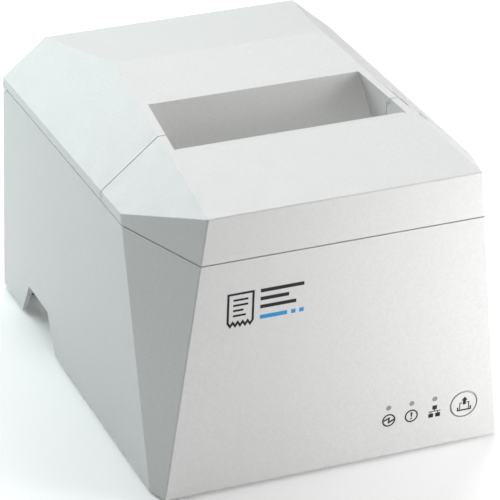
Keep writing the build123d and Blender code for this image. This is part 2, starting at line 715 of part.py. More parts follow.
def make_print_head():
    with BuildPart() as head_heatsink:
        box((-41.5, 41.5), (back(58.8), back(61.2)), (77.0, 96.2))
        rod_x(2.6, (-41.5, 41.5), back(60.0), 77.0)
        rod_x(1.5, (-FRAME_X - 2.0, FRAME_X + 2.0), back(60.0), 77.0)
        for x in range(-36, 37, 6):
            box((x - 1.2, x + 1.2), (back(58.0), back(59.6)), (79.5, 85.0), Mode.SUBTRACT)
        # side lugs that set the head's free height
        for side in (-1, 1):
            x = sorted((side * 38.0, side * 41.5))
            box(x, (back(58.8), back(61.2)), (96.0, 97.2))
    with BuildPart() as head_ceramic:
        box((-40.4, 40.4), (back(61.2), back(62.2)), (81.0, 95.0))
        box((-40.2, 40.2), (back(62.2), back(62.6)), (88.6, 90.4))
        box((-30.0, 30.0), (back(62.2), back(62.55)), (82.5, 84.4))
    return head_heatsink.part, head_ceramic.part


def make_feed_motor():
    y, z = MOTOR_AT
    with BuildPart() as feed_motor:
        rod_x(14.0, (-FRAME_X + 1.0, -20.0), y, z)
        rod_x(14.0, (-33.2, -32.4), y, z)
        box((-FRAME_X, -FRAME_X + 1.0), (y - 14.5, y + 20.5), (z - 7.0, z + 7.0))
        rod_x(3.1, (-FRAME_X - 1.0, -FRAME_X + 1), y, z)
        rod_x(1.55, (-FRAME_X - 2.0, -FRAME_X + 6.0), y, z, Mode.SUBTRACT)
        box((-24.5, -20.5), (y - 5.0, y + 5.0), (z + 12.0, z + 14.9))
        rod_x(2.6, (-20.0, -18.6), y, z)
    return feed_motor.part


def make_feed_pinion():
    y, z = MOTOR_AT
    with BuildPart() as feed_pinion:
        face = Plane(origin=(GEAR_X, y, z), x_dir=(0, 1, 0), z_dir=(1, 0, 0))
        spur_gear(face, MOTOR_TEETH, GEAR_W, 0, turned=feed_turns()[2])
        rod_x(1.5, (GEAR_X - 0.3, -FRAME_X + 5.6), y, z)
    return feed_pinion.part


def make_feed_idler():
    with BuildPart() as feed_idler:
        at = (GEAR_X, *IDLER_AT)
        face = Plane(origin=at, x_dir=(0, 1, 0), z_dir=(1, 0, 0))
        spur_gear(face, IDLER_TEETH, GEAR_W, 0, turned=feed_turns()[1])
        for x in ((GEAR_X - 1, GEAR_X + 1.2), (GEAR_X + GEAR_W - 1.2, GEAR_X + GEAR_W + 1)):
            rod_x(9.0, x, at[1], at[2], Mode.SUBTRACT)
            rod_x(4.0, (max(x[0], GEAR_X), min(x[1], GEAR_X + GEAR_W)), at[1], at[2])
        for step in range(5):
            angle = 2 * pi * step / 5
            y, z = at[1] + 6.5 * cos(angle), at[2] + 6.5 * sin(angle)
            rod_x(1.5, (GEAR_X - 1, GEAR_X + GEAR_W + 1), y, z, Mode.SUBTRACT)
        rod_x(4.0, (GEAR_X + GEAR_W, -FRAME_X - FRAME_T - 0.2), at[1], at[2])
        rod_x(2.05, (GEAR_X - 1, -FRAME_X), at[1], at[2], Mode.SUBTRACT)
    return feed_idler.part


def make_idler_clip():
    with BuildPart() as idler_clip:
        x = (GEAR_X - 0.6, GEAR_X - 0.15)
        rod_x(4.2, x, *IDLER_AT)
        rod_x(2.0, (x[0] - 1, x[1] + 1), *IDLER_AT, Mode.SUBTRACT)
        y, z = IDLER_AT
        box((x[0] - 1, x[1] + 1), (y - 1.2, y + 1.2), (z - 8.0, z - 1.0), Mode.SUBTRACT)
    return idler_clip.part


def make_platen():
    with BuildPart() as platen_shaft:
        rod_x(SHAFT_R, (-40.8, 40.8), PLATEN_Y, PLATEN_Z)
        rod_x(SHAFT_END_R, (GEAR_X - 1.4, 48.6), PLATEN_Y, PLATEN_Z)
        for x in ((GEAR_X - 1.0, GEAR_X - 0.5), (47.7, 48.2)):
            cut_groove_x(2.5, 4.0, x, PLATEN_Y, PLATEN_Z)
        chamfer(platen_shaft.edges().group_by(Axis.X)[0], 0.3)
        chamfer(platen_shaft.edges().group_by(Axis.X)[-1], 0.3)
    with BuildPart() as platen_rubber:
        rod_x(PLATEN_R, (-PLATEN_HALF, PLATEN_HALF), PLATEN_Y, PLATEN_Z)
        rod_x(SHAFT_R, (-41, 41), PLATEN_Y, PLATEN_Z, Mode.SUBTRACT)
        ends = platen_rubber.edges().filter_by(GeomType.CIRCLE).filter_by(lambda e: e.radius > 6)
        chamfer(ends, 0.4)
    with BuildPart() as platen_gear:
        at = (GEAR_X, PLATEN_Y, PLATEN_Z)
        face = Plane(origin=at, x_dir=(0, 1, 0), z_dir=(1, 0, 0))
        spur_gear(face, PLATEN_TEETH, GEAR_W, 0, turned=feed_turns()[0])
        rod_x(SHAFT_END_R, (GEAR_X - 1, GEAR_X + GEAR_W + 1), at[1], at[2], Mode.SUBTRACT)
    with BuildPart() as shaft_clips:
        for x in ((GEAR_X - 1.0, GEAR_X - 0.5), (47.7, 48.2)):
            rod_x(4.2, x, PLATEN_Y, PLATEN_Z)
            rod_x(2.5, x, PLATEN_Y, PLATEN_Z, Mode.SUBTRACT)
            box(x, (PLATEN_Y - 1.2, PLATEN_Y + 1.2), (PLATEN_Z + 1, PLATEN_Z + 6), Mode.SUBTRACT)
    return platen_shaft.part, platen_rubber.part, platen_gear.part, shaft_clips.part


def make_platen_carrier():
    with BuildPart() as platen_carrier:
        box((-43.2, 43.2), (back(66.0), back(79.0)), (101.6, WELL_FLOOR_Z - WELL_WALL))
        for side in (-1, 1):
            x = sorted((side * 41.0, side * 43.2))
            plane = Plane(origin=(x[0], 0, 0), x_dir=(0, 1, 0), z_dir=(1, 0, 0))
            with BuildSketch(plane):
                Polygon(
                    (back(62.9), 82.6),
                    (back(76.0), 82.6),
                    (back(79.0), 92.0),
                    (back(85.0), 99.5),
                    (back(85.0), 105.6),
                    (back(79.6), 105.6),
                    (back(78.4), 103.0),
                    (back(66.0), 103.0),
                    (back(62.9), 98.0),
                    align=None,
                )
            extrude(amount=2.2)
            rod_x(BUSH_R, x, PLATEN_Y, PLATEN_Z, Mode.SUBTRACT)
            rod_x(1.55, x, back(82.0), 103.0, Mode.SUBTRACT)
    with BuildPart() as platen_bushes:
        for side in (-1, 1):
            x = sorted((side * 41.0, side * 47.4))
            rod_x(BUSH_R, x, PLATEN_Y, PLATEN_Z)
            rod_x(SHAFT_END_R + 0.05, x, PLATEN_Y, PLATEN_Z, Mode.SUBTRACT)
    with BuildPart() as fixed_blade:
        plane = Plane.XY.offset(100.4)
        with BuildSketch(plane):
            Polygon(
                (-40.6, back(64.6)),
                (40.6, back(64.6)),
                (40.6, back(75.0)),
                (-40.6, back(75.0)),
                align=None,
            )
        extrude(amount=1.2)
        for x in (-34.0, 0.0, 34.0):
            rod_z(1.6, x, back(71.0), (100, 102), Mode.SUBTRACT)
        front = fixed_blade.edges().filter_by(Axis.X).group_by(Axis.Y)[0].sort_by(Axis.Z)[-1]
        chamfer(front, 0.5)
    with BuildPart() as blade_screws:
        for x in (-34.0, 0.0, 34.0):
            rod_z(1.6, x, back(71.0), (100.0, 101.6))
            rod_z(2.6, x, back(71.0), (99.0, 100.4))
    return platen_carrier.part, platen_bushes.part, fixed_blade.part, blade_screws.part


def make_latch():
    with BuildPart() as latch_shaft:
        rod_x(1.5, (-46.6, 51.4), back(82.0), 103.0)
    with BuildPart() as latch_hooks:
        for side in (-1, 1):
            x = sorted((side * 43.7, side * 45.4))
            plane = Plane(origin=(x[0], 0, 0), x_dir=(0, 1, 0), z_dir=(1, 0, 0))
            with BuildSketch(plane):
                Polygon(
                    (back(80.6), 104.8),
                    (back(80.0), 101.5),
                    (back(81.6), 96.0),
                    (back(82.2), 89.0),
                    (back(81.3), 85.2),
                    (back(82.6), 83.4),
                    (back(84.6), 84.0),
                    (back(85.4), 88.0),
                    (back(85.0), 98.0),
                    (back(84.0), 104.4),
                    align=None,
                )
            extrude(amount=1.7)
            rod_x(1.5, (x[0] - 1, x[1] + 1), back(82.0), 103.0, Mode.SUBTRACT)
    with BuildPart() as latch_crank:
        plane = Plane(origin=(47.4, 0, 0), x_dir=(0, 1, 0), z_dir=(1, 0, 0))
        with BuildSketch(plane):
            Polygon(
                (back(79.4), 101.6),
                (back(83.6), 100.4),
                (back(91.7), 105.4),
                (back(90.4), 108.2),
                (back(81.0), 105.4),
                align=None,
            )
        extrude(amount=3.4)
        rod_x(1.5, (46, 52), back(82.0), 103.0, Mode.SUBTRACT)
    return latch_shaft.part, latch_hooks.part, latch_crank.part


def make_lever():
    plane = shoulder_plane()
    with BuildPart() as lever:
        with BuildSketch(plane) as outline:
            Polygon(*on_shoulder(LEVER_OUTLINE), align=None)
            fillet(outline.vertices(), 1.2)
        extrude(amount=-LEVER_T)
        # finger edge along the front
        with BuildSketch(plane.offset(-LEVER_T + 0.4)):
            Polygon(*on_shoulder(((56.8, 67.4), (60.8, 66.4), (60.9, 68.0), (57.0, 69.0))), align=None)
        extrude(amount=-1.2)
        # grip ribs
        for step in range(4):
            with BuildSketch(plane):
                with Locations((-26.5 + step * 2.4, -1.4)):
                    Rectangle(1.0, 4.6)
            extrude(amount=-0.5, mode=Mode.SUBTRACT)
        # lug that reaches through the pocket floor
        with BuildSketch(plane.offset(-LEVER_T + 0.5)):
            with Locations((-2.6, -1.5)):
                Rectangle(2.6, 3.0)
        extrude(amount=-7.6)
        with Locations(lever_axis()):
            Cylinder(0.8, 24.0, mode=Mode.SUBTRACT)
    with BuildPart() as lever_pin:
        with Locations(lever_axis()):
            Cylinder(0.8, 23.0)
    return lever.part, lever_pin.part


# ---------------------------------------------------------------- paper cutter

CUT_X, CUT_Y = -16.4, back(31.0)  # axis of the blade pinion and wheel
CUT_MOTOR = (-35.9, back(23.85))
CUT_TRAVEL = 8.0


def make_cutter_frame():
    with BuildPart() as cutter_frame:
        box((-FRAME_X - FRAME_T, FRAME_X + FRAME_T), (back(36.0), back(61.0)), (98.0, 99.2))
        box((-47.0, -2.0), (back(12.5), back(37.0)), (98.0, 99.2))
        for side in (-1, 1):
            x = sorted((side * 40.9, side * 42.6))
            box(x, (back(37.0), back(60.6)), (99.0, 100.9))
            x = sorted((side * 39.6, side * 42.6))
            box(x, (back(37.0), back(58.0)), (100.4, 100.9))
        # window under the middle of the blade, and the motor shaft hole
        box((6.0, 34.0), (back(42.0), back(56.0)), (97, 99.2), Mode.SUBTRACT)
        box((-34.0, -6.0), (back(48.0), back(57.0)), (97, 99.2), Mode.SUBTRACT)
        rod_z(3.0, *CUT_MOTOR, (97, 100), Mode.SUBTRACT)
        # stud of the blade wheel
        rod_z(1.5, CUT_X, CUT_Y, (99.0, 104.6))
        # tabs down the outside of the motor and front edge flange
        box((-47.0, -2.0), (back(12.5), back(13.5)), (95.0, 99.2))
    return cutter_frame.part


def make_cutter_blade():
    pitch = pi * MODULE
    rack_x = CUT_X + MODULE * PINION_TEETH / 2
    with BuildPart() as cutter_blade:
        with BuildSketch(Plane.XY.offset(BLADE_Z)):
            Polygon(
                (-BLADE_HALF + 0.3, back(38.5)),
                (BLADE_HALF - 0.3, back(38.5)),
                (BLADE_HALF - 0.3, back(60.8)),
                (0.0, back(58.2)),
                (-BLADE_HALF + 0.3, back(60.8)),
                align=None,
            )
        extrude(amount=BLADE_T)
        root = rack_x + 1.25 * MODULE
        box((root, root + 4.0), (back(17.5), back(39.0)), (BLADE_Z, BLADE_Z + BLADE_T))
        box((CUT_X - 8.6, root), (CUT_Y, back(44.0)), (99, 101), Mode.SUBTRACT)
        # rack teeth, with a gap facing the pinion's axis
        at_tip = pi * MODULE / 4 - MODULE * tan(radians(20)) - 0.05
        at_root = pi * MODULE / 4 + 1.25 * MODULE * tan(radians(20)) - 0.05
        with BuildSketch(Plane.XY.offset(BLADE_Z)):
            for step in range(-5, 2):
                y = CUT_Y + (step + 0.5) * pitch
                Polygon(
                    (rack_x - MODULE, y - at_tip),
                    (root + 0.2, y - at_root),
                    (root + 0.2, y + at_root),
                    (rack_x - MODULE, y + at_tip),
                    align=None,
                )
        extrude(amount=BLADE_T)
    return cutter_blade.part


def make_cutter_gear():
    turn = meshed_turn(CUT_MOTOR, CUTTER_MOTOR_TEETH, 0.0, (CUT_X, CUT_Y), WHEEL_TEETH)
    with BuildPart() as cutter_gear:
        spur_gear(Plane(origin=(CUT_X, CUT_Y, BLADE_Z)), PINION_TEETH, 1.3, 0, turned=0.0)
        spur_gear(Plane(origin=(CUT_X, CUT_Y, 100.7)), WHEEL_TEETH, 1.8, 0, turned=turn)
        rod_z(1.55, CUT_X, CUT_Y, (98, 110), Mode.SUBTRACT)
        for step in range(6):
            angle = 2 * pi * step / 6
            rod_z(2.2, CUT_X + 10.6 * cos(angle), CUT_Y + 10.6 * sin(angle), (100.7, 103), Mode.SUBTRACT)
    with BuildPart() as cutter_knob:
        rod_z(5.0, CUT_X, CUT_Y, (102.5, 105.0))
        rod_z(1.55, CUT_X, CUT_Y, (98, 110), Mode.SUBTRACT)
        for step in range(16):
            angle = 2 * pi * step / 16
            rod_z(0.4, CUT_X + 5 * cos(angle), CUT_Y + 5 * sin(angle), (102, 106), Mode.SUBTRACT)
    with BuildPart() as cutter_pinion:
        spur_gear(Plane(origin=(*CUT_MOTOR, 100.7)), CUTTER_MOTOR_TEETH, 2.2, 0, turned=0.0)
        rod_z(1.0, *CUT_MOTOR, (92.0, 101.0))
        rod_z(2.4, *CUT_MOTOR, (99.6, 100.8))
    return cutter_gear.part, cutter_knob.part, cutter_pinion.part


def make_cutter_motor():
    with BuildPart() as cutter_motor:
        rod_z(10.0, *CUT_MOTOR, (76.0, 98.0))
        x, y = CUT_MOTOR
        box((x - 11, x + 11), (y - 7.5, y + 7.5), (70, 76), Mode.SUBTRACT)
        rod_z(2.8, *CUT_MOTOR, (97.0, 98.9))
        rod_z(1.04, *CUT_MOTOR, (91.5, 99.5), Mode.SUBTRACT)
        rod_z(8.8, *CUT_MOTOR, (74.4, 76.2))
        box((x - 4.6, x - 3.4), (y - 1.2, y + 1.2), (71.0, 75.0))
        box((x + 3.4, x + 4.6), (y - 1.2, y + 1.2), (71.0, 75.0))
    return cutter_motor.part


# ---------------------------------------------------------------- electronics and sockets


def make_main_board():
    top = BOARD_Z + BOARD_T
    with BuildPart() as main_board:
        box((-13.0, 53.4), (back(20.0), back(109.4)), (BOARD_Z, top))
        box((-14.0, -10.4), (back(97.0), back(110)), (BOARD_Z - 1, top + 1), Mode.SUBTRACT)
        for x, y in ((-9.0, 24.0), (49.0, 28.0), (-9.0, 88.0), (49.0, 88.0)):
            rod_z(1.5, x, back(y), (BOARD_Z - 1, top + 1), Mode.SUBTRACT)
    with BuildPart() as board_parts:
        box((8.0, 24.0), (back(48.0), back(64.0)), (top, top + 1.6))
        box((30.0, 40.0), (back(44.0), back(58.0)), (top, top + 1.2))
        box((30.0, 38.0), (back(64.0), back(70.0)), (top, top + 1.2))
        box((-6.0, 1.0), (back(60.0), back(68.0)), (top, top + 4.6))
        box((43.0, 51.0), (back(52.0), back(57.0)), (top, top + 2.3))
        for step in range(6):
            x = -4.0 + step * 3.2
            box((x, x + 1.6), (back(76.0), back(77.0)), (top, top + 0.7))
            box((x + 14, x + 15.6), (back(36.0), back(37.0)), (top, top + 0.7))
        for x, y, count in ((-3.0, 30.0, 6), (22.0, 26.0, 8), (42.0, 36.0, 5)):
            box((x, x + 2.0 * count + 2), (back(y), back(y + 5.6)), (top, top + 6.5))
            box((x + 1, x + 2.0 * count + 1), (back(y + 1), back(y + 4.6)), (top + 1, 30), Mode.SUBTRACT)
    with BuildPart() as capacitors:
        cans = (
            (-6.5, 50.0, 4.0, 12.0),
            (3.5, 50.0, 4.0, 12.0),
            (46.0, 74.0, 5.0, 16.0),
            (46.0, 64.0, 3.1, 8.0),
        )
        for x, y, r, h in cans:
            rod_z(r, x, back(y), (top, top + h))
            with BuildSketch(Plane.XY.offset(top + 1.2)) as neck:
                with Locations((x, back(y))):
                    Circle(r + 1)
                    Circle(r - 0.3, mode=Mode.SUBTRACT)
            extrude(neck.sketch, amount=0.6, mode=Mode.SUBTRACT)
    return main_board.part, board_parts.part, capacitors.part


def make_power_supply():
    with BuildPart() as power_supply:
        box((-52.0, -18.0), (back(14.0), back(84.0)), (10.0, 41.0))
        box((-51.2, -18.8), (back(14.8), back(83.2)), (10.8, 40.2), Mode.SUBTRACT)
        # louvres in the top and side
        for step in range(7):
            y = 22.0 + step * 8.6
            box((-46, -24), (back(y), back(y + 3.0)), (40, 42), Mode.SUBTRACT)
            box((-19, -17), (back(y), back(y + 3.0)), (16, 34), Mode.SUBTRACT)
    return power_supply.part


def make_connector_panel():
    y = (STEP_Y, STEP_Y + 1.0)
    with BuildPart() as connector_panel:
        box((-60.0, 60.0), y, (4.6, 28.0))
        hole = (STEP_Y - 1, STEP_Y + 2)
        box((INLET_X - 13.5, INLET_X + 13.5), hole, (INLET_Z - 9.2, INLET_Z + 9.2), Mode.SUBTRACT)
        box((SWITCH_X - 6.6, SWITCH_X + 6.6), hole, (SWITCH_Z - 9.6, SWITCH_Z + 9.6), Mode.SUBTRACT)
        top = BOARD_Z + BOARD_T
        box((LAN_X - 8.1, LAN_X + 8.1), hole, (top, top + 13.6), Mode.SUBTRACT)
        box((USB_X - 4.6, USB_X + 4.6), hole, (top + 0.1, top + 3.5), Mode.SUBTRACT)
        box((DRAWER_X - 6.8, DRAWER_X + 6.8), hole, (top, top + 13.0), Mode.SUBTRACT)
        for x in (-57.8, 57.8):
            rod_y(1.6, x, hole, 16.0, Mode.SUBTRACT)
    with BuildPart() as panel_screws:
        for x in (-57.8, 57.8):
            rod_y(1.6, x, (STEP_Y - 0.0, STEP_Y + 1.0), 16.0)
            rod_y(1.9, x, (STEP_Y + 1.0, STEP_Y + 2.2), 16.0)
            box((x - 1.4, x + 1.4), (STEP_Y + 1.8, STEP_Y + 3), (15.8, 16.2), Mode.SUBTRACT)
            box((x - 0.2, x + 0.2), (STEP_Y + 1.8, STEP_Y + 3), (14.6, 17.4), Mode.SUBTRACT)
    return connector_panel.part, panel_screws.part


def make_ac_inlet():
    """Mains inlet with three flat pins, 24 by 16.5 mm plug opening with two corners taken off."""
    x, z, y = INLET_X, INLET_Z, STEP_Y
    with BuildPart() as ac_inlet:
        box((x - 13.5, x + 13.5), (y - 18.0, y + 1.0), (z - 9.2, z + 9.2))
        box((x - 15.0, x + 15.0), (y + 1.0, y + 2.2), (z - 10.6, z + 10.6))
        with BuildSketch(Plane(origin=(x, y + 3, z), x_dir=(-1, 0, 0), z_dir=(0, 1, 0))) as mouth:
            Rectangle(24.0, 16.5)
            chamfer(mouth.vertices().group_by(Axis.Z)[0], 4.5)
        extrude(amount=-17.5, mode=Mode.SUBTRACT)
        pins = ((x - 7.0, z - 2.0), (x + 7.0, z - 2.0), (x, z + 2.0))
        for px, pz in pins:
            box((px - 1.0, px + 1.0), (y - 22, y - 10), (pz - 2.0, pz + 2.0), Mode.SUBTRACT)
    with BuildPart() as inlet_pins:
        for px, pz in pins:
            box((px - 1.0, px + 1.0), (y - 22.0, y - 6.0), (pz - 2.0, pz + 2.0))
    return ac_inlet.part, inlet_pins.part


def make_lan_jack():
    top = BOARD_Z + BOARD_T
    x, y = LAN_X, STEP_Y + 0.6
    with BuildPart() as lan_jack:
        box((x - 8.0, x + 8.0), (y - 21.0, y), (top, top + 13.4))
        box((x - 5.9, x + 5.9), (y - 14.0, y + 1), (top + 2.0, top + 9.2), Mode.SUBTRACT)
        box((x - 3.1, x + 3.1), (y - 14.0, y + 1), (top + 9.0, top + 11.0), Mode.SUBTRACT)
        box((x - 1.6, x + 1.6), (y - 14.0, y + 1), (top + 10.9, top + 12.4), Mode.SUBTRACT)
    return lan_jack.part


def make_usb_port():
    """USB type C receptacle."""
    top = BOARD_Z + BOARD_T
    x, y, z = USB_X, STEP_Y + 0.6, top + 1.8
    with BuildPart() as usb_port:
        face = Plane(origin=(x, y, z), x_dir=(-1, 0, 0), z_dir=(0, 1, 0))
        with BuildSketch(face):
            SlotOverall(8.94, 3.26)
        extrude(amount=-7.5)
        box((x - 3.4, x + 3.4), (y - 7.5, y - 2.0), (top, z))
        with BuildSketch(face.offset(1)):
            SlotOverall(8.34, 2.56)
        extrude(amount=-7.2, mode=Mode.SUBTRACT)
    with BuildPart() as usb_tongue:
        box((x - 3.35, x + 3.35), (y - 6.2, y - 1.2), (z - 0.35, z + 0.35))
    return usb_port.part, usb_tongue.part


def make_drawer_jack():
    """Six-way socket for the cash drawer."""
    top = BOARD_Z + BOARD_T
    x, y = DRAWER_X, STEP_Y + 0.6
    with BuildPart() as drawer_jack:
        box((x - 6.7, x + 6.7), (y - 18.0, y), (top, top + 12.8))
        box((x - 4.9, x + 4.9), (y - 13.0, y + 1), (top + 2.0, top + 8.8), Mode.SUBTRACT)
        box((x - 2.9, x + 2.9), (y - 13.0, y + 1), (top + 8.6, top + 10.6), Mode.SUBTRACT)
        box((x - 1.5, x + 1.5), (y - 13.0, y + 1), (top + 10.5, top + 11.8), Mode.SUBTRACT)
    return drawer_jack.part


def make_jack_contacts():
    floor = BOARD_Z + BOARD_T + 2.0
    y = STEP_Y + 0.6
    with BuildPart() as jack_contacts:
        for middle, count, deep in ((LAN_X, 8, 14.0), (DRAWER_X, 6, 13.0)):
            for step in range(count):
                x = middle + (step - (count - 1) / 2) * 1.02
                box((x - 0.2, x + 0.2), (y - deep, y - 5.0), (floor, floor + 0.5))
    return jack_contacts.part


def make_power_switch():
    """Snap-in housing and the rocker, which rests with its lower half pressed in (off)."""
    x, z, y = SWITCH_X, SWITCH_Z, STEP_Y
    with BuildPart() as switch_housing:
        box((x - 6.5, x + 6.5), (y - 13.0, y + 1.0), (z - 9.5, z + 9.5))
        box((x - 7.6, x + 7.6), (y + 1.0, y + 2.4), (z - 10.6, z + 10.6))
        box((x - 5.3, x + 5.3), (y - 6.5, y + 3.0), (z - 8.4, z + 8.4), Mode.SUBTRACT)
        rod_x(1.25, (x - 6.25, x + 6.25), y, z, Mode.SUBTRACT)
        for dz in (-6.0, 0.0, 6.0):
            box((x - 2.4, x + 2.4), (y - 19.0, y - 12.5), (z + dz - 0.4, z + dz + 0.4))
    lean = radians(-12)
    profile = (
        (-3.0, -3.0),
        (0.6, -7.7),
        (3.4, -7.4),
        (2.5, -0.5),
        (2.5, 0.5),
        (3.4, 7.4),
        (0.6, 7.7),
        (-3.0, 3.0),
    )
    with BuildPart() as power_rocker:
        with BuildSketch(Plane(origin=(x - 5.0, 0, 0), x_dir=(0, 1, 0), z_dir=(1, 0, 0))):
            turned = [
                (y + a * cos(lean) - b * sin(lean), z + a * sin(lean) + b * cos(lean))
                for a, b in profile
            ]
            Polygon(*turned, align=None)
        extrude(amount=10.0)
        rod_x(1.2, (x - 6.2, x + 6.2), y, z)
    return switch_housing.part, power_rocker.part


# ---------------------------------------------------------------- front panel controls


def make_button():
    x, z = BUTTON_X, BUTTON_Z
    with BuildPart() as feed_button:
        rod_y(BUTTON_R, x, (FRONT - 0.1, back(4.2)), z)
        rod_y(BUTTON_R - 1.5, x, (back(1.6), back(5)), z, Mode.SUBTRACT)
        rod_y(1.6, x, (back(1.0), back(8.2)), z)
        fillet(feed_button.edges().group_by(Axis.Y)[0], 0.35)
    with BuildPart() as button_spring:
        at = Plane(origin=(x, back(1.95), z), z_dir=(0, 1, 0))
        add(at.location * coil_spring(1.5, 6.6, 2.6, 0.25))
    return feed_button.part, button_spring.part


def make_panel_board():
    x, z = BUTTON_X, BUTTON_Z
    with BuildPart() as panel_board:
        box((14.0, 62.0), (back(9.0), back(10.4)), (9.0, 30.0))
        rod_y(1.9, x, (back(8.0), back(11)), z, Mode.SUBTRACT)
        box((30.0, 44.0), (back(10.4), back(14.4)), (11.0, 16.0))
    with BuildPart() as panel_parts:
        for lx in LIGHT_X:
            box((lx - 1.4, lx + 1.4), (back(7.8), back(9.0)), (LIGHT_Z - 1.0, LIGHT_Z + 1.0))
        box((x - 3.1, x + 3.1), (back(10.4), back(13.6)), (z - 3.1, z + 3.1))
        rod_y(1.4, x, (back(9.5), back(10.8)), z)
    with BuildPart() as light_pipes:
        for lx in LIGHT_X:
            rod_y(LIGHT_R, lx, (FRONT + 0.05, back(3.0)), LIGHT_Z)
            rod_y(1.7, lx, (back(2.25), back(7.7)), LIGHT_Z)
    return panel_board.part, panel_parts.part, light_pipes.part


def make_sensors():
    with BuildPart() as paper_sensor:
        box((-17.6, -10.4), (back(80.0), back(84.6)), (51.0, 57.0))
        box((-16.4, -11.6), (back(78.6), back(80.0)), (52.0, 56.0))
    with BuildPart() as cover_switch:
        box((50.0, 57.0), (back(42.0), back(54.0)), (84.0, 92.0))
        box((FRAME_X + FRAME_T, 50.0), (back(44.0), back(52.0)), (85.0, 91.0))
        box((52.6, 54.4), (back(44.5), back(51.5)), (92.0, 93.2))
    return paper_sensor.part, cover_switch.part


def make_flex_cable():
    """Flat cable from the print head down towards the main board."""
    path = ((62.4, 79.6), (63.4, 76.0), (63.6, 60.0), (63.6, 47.4))
    with BuildPart() as head_cable:
        with BuildSketch(Plane.YZ):
            Polygon(
                *[(back(y - 0.15), z) for y, z in path],
                *[(back(y + 0.15), z) for y, z in reversed(path)],
                align=None,
            )
        extrude(amount=14.0, both=True)
    return head_cable.part


# ---------------------------------------------------------------- all nodes


def main():
    save(make_lower_case(), "lower_case")
    save(make_lid_cover(), "lid_cover")
    save(make_hinge_pins(), "hinge_pins")
    save(make_front_cover(), "front_cover")
    save(make_base_tray(), "base_tray")
    save(make_feet(), "rubber_feet")
    save(make_base_screws(), "base_screws")
    save(make_bucket(), "paper_bucket")
    save(make_mech_frame(), "mech_frame")
    save(make_frame_screws(), "frame_screws")
    save(make_spring_plate(), "head_spring_plate")
    save(make_head_springs(), "head_springs")
    head_heatsink, head_ceramic = make_print_head()
    save(head_heatsink, "head_heatsink")
    save(head_ceramic, "head_ceramic")
    save(make_feed_motor(), "feed_motor")
    save(make_feed_pinion(), "feed_pinion")
    save(make_feed_idler(), "feed_idler")
    save(make_idler_clip(), "idler_clip")
    platen_shaft, platen_rubber, platen_gear, shaft_clips = make_platen()
    save(platen_shaft, "platen_shaft")
    save(platen_rubber, "platen_rubber")
    save(platen_gear, "platen_gear")
    save(shaft_clips, "shaft_clips")
    platen_carrier, platen_bushes, fixed_blade, blade_screws = make_platen_carrier()
    save(platen_carrier, "platen_carrier")
    save(platen_bushes, "platen_bushes")
    save(fixed_blade, "fixed_blade")
    save(blade_screws, "blade_screws")
    latch_shaft, latch_hooks, latch_crank = make_latch()
    save(latch_shaft, "latch_shaft")
    save(latch_hooks, "latch_hooks")
    save(latch_crank, "latch_crank")
    lever, lever_pin = make_lever()
    save(lever, "release_lever")
    save(lever_pin, "lever_pin")
    save(make_cutter_frame(), "cutter_frame")
    save(make_cutter_blade(), "cutter_blade")
    cutter_gear, cutter_knob, cutter_pinion = make_cutter_gear()
    save(cutter_gear, "cutter_gear")
    save(cutter_knob, "cutter_knob")
    save(cutter_pinion, "cutter_pinion")
    save(make_cutter_motor(), "cutter_motor")
    main_board, board_parts, capacitors = make_main_board()
    save(main_board, "main_board")
    save(board_parts, "board_parts")
    save(capacitors, "capacitors")
    save(make_power_supply(), "power_supply")
    connector_panel, panel_screws = make_connector_panel()
    save(connector_panel, "connector_panel")
    save(panel_screws, "panel_screws")
    ac_inlet, inlet_pins = make_ac_inlet()
    save(ac_inlet, "ac_inlet")
    save(inlet_pins, "inlet_pins")
    save(make_lan_jack(), "lan_jack")
    usb_port, usb_tongue = make_usb_port()
    save(usb_port, "usb_port")
    save(usb_tongue, "usb_tongue")
    save(make_drawer_jack(), "drawer_jack")
    save(make_jack_contacts(), "jack_contacts")
    switch_housing, power_rocker = make_power_switch()
    save(switch_housing, "switch_housing")
    save(power_rocker, "power_rocker")
    feed_button, button_spring = make_button()
    save(feed_button, "feed_button")
    save(button_spring, "button_spring")
    panel_board, panel_parts, light_pipes = make_panel_board()
    save(panel_board, "panel_board")
    save(panel_parts, "panel_parts")
    save(light_pipes, "light_pipes")
    paper_sensor, cover_switch = make_sensors()
    save(paper_sensor, "paper_sensor")
    save(cover_switch, "cover_switch")
    save(make_flex_cable(), "head_cable")


if __name__ == "__main__":
    main()
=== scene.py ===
"""Desktop receipt printer: finishes, springs, printed marks, lights and camera on the CAD frame."""

import json
import math

import bpy
import bmesh
from mathutils import Matrix, Vector


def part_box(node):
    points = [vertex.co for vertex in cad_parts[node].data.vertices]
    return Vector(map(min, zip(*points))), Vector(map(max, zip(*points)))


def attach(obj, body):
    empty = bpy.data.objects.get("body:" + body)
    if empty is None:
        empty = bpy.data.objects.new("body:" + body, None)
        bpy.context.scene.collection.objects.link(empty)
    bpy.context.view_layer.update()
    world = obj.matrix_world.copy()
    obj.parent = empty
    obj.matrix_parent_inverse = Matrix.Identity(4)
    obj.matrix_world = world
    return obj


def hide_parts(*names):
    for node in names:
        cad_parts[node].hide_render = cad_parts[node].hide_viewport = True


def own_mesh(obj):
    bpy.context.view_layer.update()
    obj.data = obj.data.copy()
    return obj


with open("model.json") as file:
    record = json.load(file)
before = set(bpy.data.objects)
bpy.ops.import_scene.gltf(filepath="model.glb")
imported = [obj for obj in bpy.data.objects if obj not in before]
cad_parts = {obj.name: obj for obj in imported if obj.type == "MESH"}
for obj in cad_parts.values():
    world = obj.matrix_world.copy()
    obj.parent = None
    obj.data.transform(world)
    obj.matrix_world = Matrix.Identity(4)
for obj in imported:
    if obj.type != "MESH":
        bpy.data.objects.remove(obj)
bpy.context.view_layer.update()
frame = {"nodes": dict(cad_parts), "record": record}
record = frame["record"]
nodes = frame["nodes"]

scene = bpy.context.scene
MM = 0.001


# ------------------------------------------------------------------ materials


